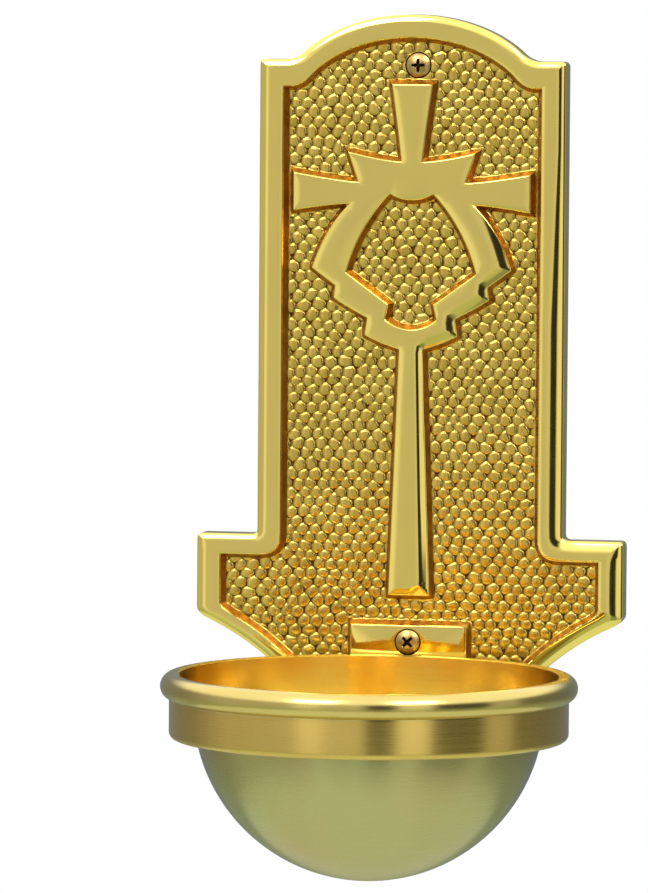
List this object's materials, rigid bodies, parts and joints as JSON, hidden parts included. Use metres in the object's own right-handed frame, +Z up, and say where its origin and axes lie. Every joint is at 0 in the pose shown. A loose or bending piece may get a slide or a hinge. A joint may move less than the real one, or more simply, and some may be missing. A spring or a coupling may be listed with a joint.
{
  "type": "wall-hung baptismal font",
  "caption": "Wall-hung brass font: an arched cast plate with a hammered field and a raised cross and ring, over a round bowl with a lift-out liner.",
  "frame": {"origin": "the lower wall screw's axis, where it meets the wall", "axes": "+X to the right of someone facing the font, -Y out from the wall, +Z up"},
  "size_m": [0.149, 0.1755, 0.2891],
  "materials": {
    "plate_brass": "polished rim and cross, hammered field",
    "bowl_brass": "satin, brushed around",
    "liner_brass": "satin, spun",
    "fixing_steel": "plain zinc-plated fixings",
    "screw_brass": "bright"
  },
  "bodies": {
    "root": {"wall_plate": "plate_brass", "bowl": "bowl_brass", "saddle_block": "plate_brass", "bowl_screws": "fixing_steel", "bowl_washers": "fixing_steel", "wall_screws": "screw_brass"},
    "liner": {"liner": "liner_brass"}
  },
  "joints": [
    {"name": "liner_lift", "type": "slide", "parent": "root", "child": "liner", "axis": [0, 0, 1], "range_m": [0, 0.07]}
  ]
}
